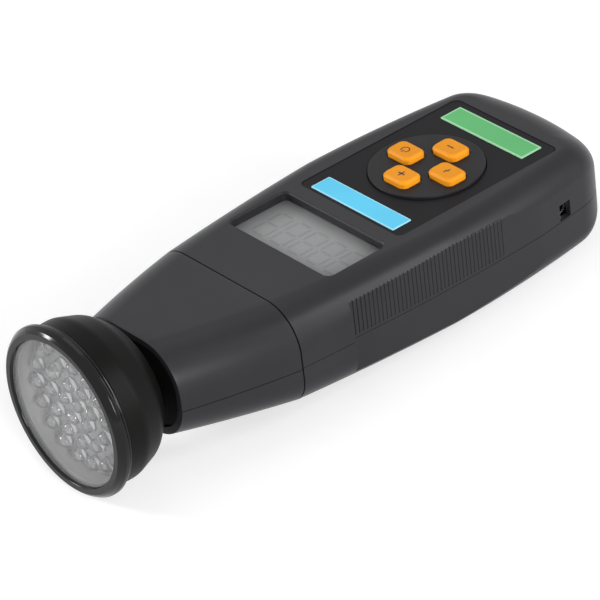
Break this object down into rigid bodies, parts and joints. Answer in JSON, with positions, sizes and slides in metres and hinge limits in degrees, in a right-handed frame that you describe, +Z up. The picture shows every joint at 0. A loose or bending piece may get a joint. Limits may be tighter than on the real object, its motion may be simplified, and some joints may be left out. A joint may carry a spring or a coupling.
{
  "type": "handheld led stroboscope",
  "caption": "Handheld LED stroboscope: round lamp head with dome LEDs behind a clear lens, tapered grip body, grey display, dark panel with a round orange keypad, battery bay with hinged door",
  "frame": {"origin": "centre of the bounding box's bottom face", "axes": "+X runs from the lamp head to the tail along the body, +Z points up out of the keypad deck, +Y is across, to the right as seen from the tail with the deck up"},
  "size_m": [0.21, 0.0734, 0.0598],
  "materials": {
    "case_plastic": "satin charcoal moulding",
    "black_plastic": "black moulding",
    "bezel_gloss": "glossy black",
    "clear_lens": "clear",
    "grey_plastic": "grey moulding",
    "led_resin": "clear resin, shown pale",
    "circuit_board": "green laminate",
    "wire_sleeve": "soft sleeve",
    "display_grey": "grey display glass",
    "overlay_dark": "dark film",
    "blue_film": "plain blue film",
    "green_film": "plain green film",
    "orange_rubber": "orange silicone",
    "can_metal": "sleeved can",
    "cell_jacket": "plain jacket",
    "spring_steel": "sheet",
    "screw_steel": "dark zinc"
  },
  "bodies": {
    "instrument": {"upper_shell": "case_plastic", "lower_shell": "case_plastic", "nose_upper": "case_plastic", "nose_lower": "case_plastic", "nose_collar": "black_plastic", "head_bowl": "black_plastic", "clamp_ring": "black_plastic", "bezel_ring": "bezel_gloss", "front_lens": "clear_lens", "reflector_ring": "grey_plastic", "led_plate": "grey_plastic", "lamp_leds": "led_resin", "led_board": "circuit_board", "head_nut": "black_plastic", "lamp_lead": "wire_sleeve", "display_window": "clear_lens", "display_glass": "display_grey", "display_frame": "black_plastic", "overlay_panel": "overlay_dark", "blue_label": "blue_film", "green_label": "green_film", "keypad_disc": "overlay_dark", "key_switches": "black_plastic", "main_board": "circuit_board", "board_chips": "black_plastic", "pulse_capacitor": "can_metal", "side_socket": "black_plastic", "battery_cells": "cell_jacket", "front_contacts": "spring_steel", "rear_contacts": "spring_steel", "board_screws": "screw_steel", "case_screws": "screw_steel", "nose_screws": "screw_steel"},
    "up_key": {"up_key": "orange_rubber"},
    "down_key": {"down_key": "orange_rubber"},
    "left_key": {"left_key": "orange_rubber"},
    "right_key": {"right_key": "orange_rubber"},
    "battery_door": {"battery_door": "case_plastic"}
  },
  "joints": [
    {"name": "up_key_press", "type": "slide", "parent": "instrument", "child": "up_key", "axis": [0, 0, -1], "range_m": [0, 0.0008], "stiffness_N_per_m": 300},
    {"name": "down_key_press", "type": "slide", "parent": "instrument", "child": "down_key", "axis": [0, 0, -1], "range_m": [0, 0.0008], "stiffness_N_per_m": 300},
    {"name": "left_key_press", "type": "slide", "parent": "instrument", "child": "left_key", "axis": [0, 0, -1], "range_m": [0, 0.0008], "stiffness_N_per_m": 300},
    {"name": "right_key_press", "type": "slide", "parent": "instrument", "child": "right_key", "axis": [0, 0, -1], "range_m": [0, 0.0008], "stiffness_N_per_m": 300},
    {"name": "battery_door_hinge", "type": "hinge", "parent": "instrument", "child": "battery_door", "pos_m": [0.0131, 0, 0.0109], "axis": [0, 1, 0], "range_deg": [0, 60]}
  ]
}
